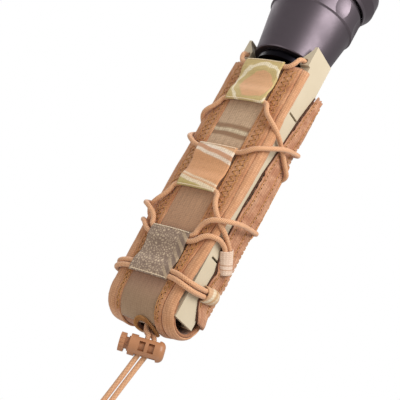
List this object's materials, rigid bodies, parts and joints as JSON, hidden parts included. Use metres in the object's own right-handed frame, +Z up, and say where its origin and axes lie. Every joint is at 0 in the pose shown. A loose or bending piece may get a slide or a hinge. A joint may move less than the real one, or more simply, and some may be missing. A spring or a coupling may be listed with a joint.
{
  "type": "tactical flashlight",
  "caption": "Cylindrical tactical flashlight with a flared head, carried head-up in a shock-cord laced belt pouch with a cord lock.",
  "frame": {"origin": "middle of the belt sleeve on the back of the pouch, where the wearer's belt passes", "axes": "+Z up along the light, towards its head; -Y to the front, away from the wearer; +X to the pouch's right as seen from the front"},
  "size_m": [0.0722, 0.0688, 0.368],
  "materials": {
    "nylon": "woven nylon webbing and pack cloth, coyote brown",
    "print": "woven nylon webbing with a printed pattern",
    "polymer": "thermoformed tan polymer sheet",
    "cord": "braided elastic shock cord",
    "lock": "moulded coyote acetal",
    "anodised": "satin charcoal anodised",
    "anodised_dark": "near-black anodised",
    "rubber": "moulded rubber",
    "glass": "coated window",
    "mirror": "vacuum-metallised reflector",
    "board": "glass-epoxy circuit board",
    "emitter": "phosphor under a silicone dome",
    "cell_wrap": "heat-shrink wrapped cell",
    "brass": "turned brass, gold plated",
    "steel": "spring steel",
    "copper": "bare copper heat sink",
    "snap": "painted brass snap"
  },
  "bodies": {
    "pouch": {"front_panel": "nylon", "back_panel": "nylon", "bottom_sling": "nylon", "drain_grommet": "nylon", "centre_strip": "print", "edge_band_left": "nylon", "edge_band_right": "nylon", "back_edge_left": "nylon", "back_edge_right": "nylon", "edge_loops_left": "polymer", "edge_loops_right": "polymer", "back_spine": "nylon", "belt_strap": "nylon", "snap_tab": "nylon", "snap_cap": "snap", "snap_post": "snap", "side_wall_left": "polymer", "side_wall_right": "polymer", "cord_tunnel_top": "print", "cord_tunnel_middle": "print", "cord_tunnel_bottom": "print", "lacing_cord": "cord", "cord_tail_left": "cord", "cord_tail_right": "cord", "tail_knot": "cord"},
    "light": {"cap_o_ring": "rubber", "battery_cell_rear": "cell_wrap", "battery_cell_front": "cell_wrap", "body_tube": "anodised", "front_contact": "brass", "driver_board": "board", "heat_sink": "copper", "neck_collar": "anodised_dark", "head_shell": "anodised", "led_board": "board", "led_dome": "emitter", "reflector": "mirror", "facet_ring": "anodised", "bezel_ring": "anodised", "window": "glass", "window_seal": "rubber"},
    "cap": {"tail_cap": "anodised", "switch_module": "anodised_dark", "tail_spring": "brass"},
    "button": {"tail_button": "rubber"},
    "lock": {"lock_barrel": "lock", "lock_spring": "steel"},
    "plunger": {"lock_plunger": "lock"}
  },
  "joints": [
    {"name": "light_draw", "type": "slide", "parent": "pouch", "child": "light", "axis": [0, 0, 1], "range_m": [0, 0.185]},
    {"name": "tail_cap_turn", "type": "hinge", "parent": "light", "child": "cap", "pos_m": [0, -0.0254, -0.089], "axis": [0, 0, -1], "range_deg": [0, 90]},
    {"name": "tail_button_press", "type": "slide", "parent": "cap", "child": "button", "axis": [0, 0, 1], "range_m": [0, 0.0012], "stiffness_N_per_m": 600},
    {"name": "cord_lock_slide", "type": "slide", "parent": "pouch", "child": "lock", "axis": [-0.2, 0, -0.9798], "range_m": [0, 0.022]},
    {"name": "lock_plunger_press", "type": "slide", "parent": "lock", "child": "plunger", "axis": [0.8106, 0.5504, 0.2001], "range_m": [0, 0.0026], "stiffness_N_per_m": 500, "deforming": ["lock_spring"]}
  ]
}
